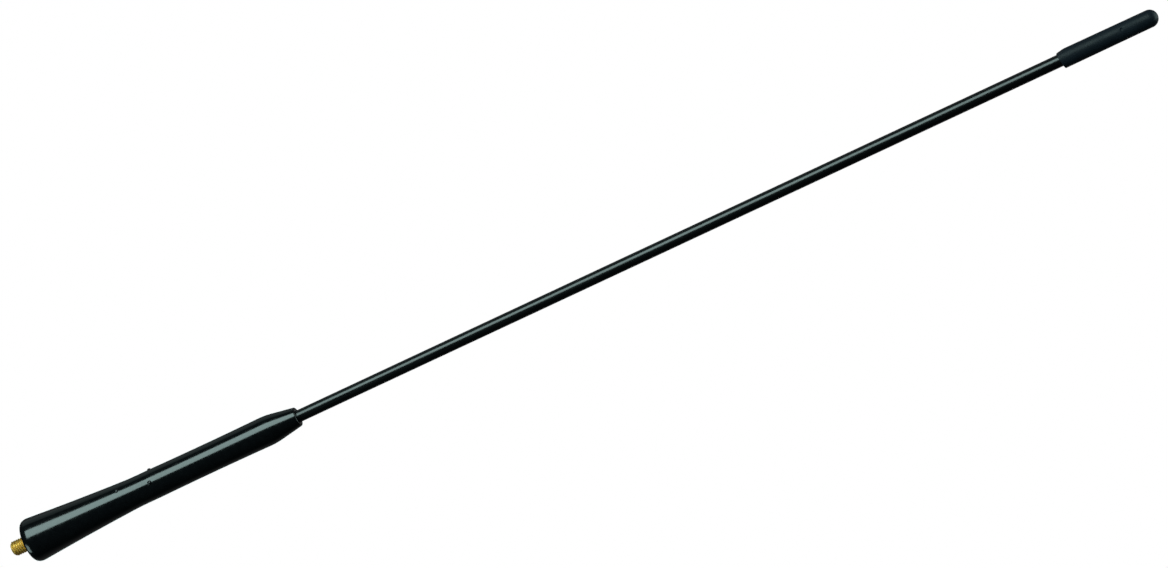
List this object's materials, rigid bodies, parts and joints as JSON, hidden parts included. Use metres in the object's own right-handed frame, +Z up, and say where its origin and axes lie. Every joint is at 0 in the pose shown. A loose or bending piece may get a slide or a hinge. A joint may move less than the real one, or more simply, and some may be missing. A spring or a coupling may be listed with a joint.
{
  "type": "car antenna mast",
  "caption": "Screw-in car roof antenna mast: a thin black rod in a flared gloss black base sleeve, with a threaded brass stud at the foot and a matte rubber cap on the tip.",
  "frame": {"origin": "centre of the seat, where the foot of the base sleeve meets the car's antenna base", "axes": "+Z up along the mast to its tip; -Y is the side that the picture shows, and -X the side that is uppermost in it"},
  "size_m": [0.0148, 0.0148, 0.4],
  "materials": {
    "turned_brass": "turned, bright",
    "gloss_black_moulding": "injection moulded, polished mould",
    "glass_fibre": "pultruded glass fibre in resin",
    "copper_strip": "bare rolled copper",
    "satin_black_tube": "extruded, satin",
    "black_rubber": "moulded, matte"
  },
  "bodies": {
    "root": {"end_fitting": "turned_brass", "base_sleeve": "gloss_black_moulding", "rod_core": "glass_fibre", "radiator_winding": "copper_strip", "rod_jacket": "satin_black_tube", "tip_cap": "black_rubber"}
  },
  "joints": []
}
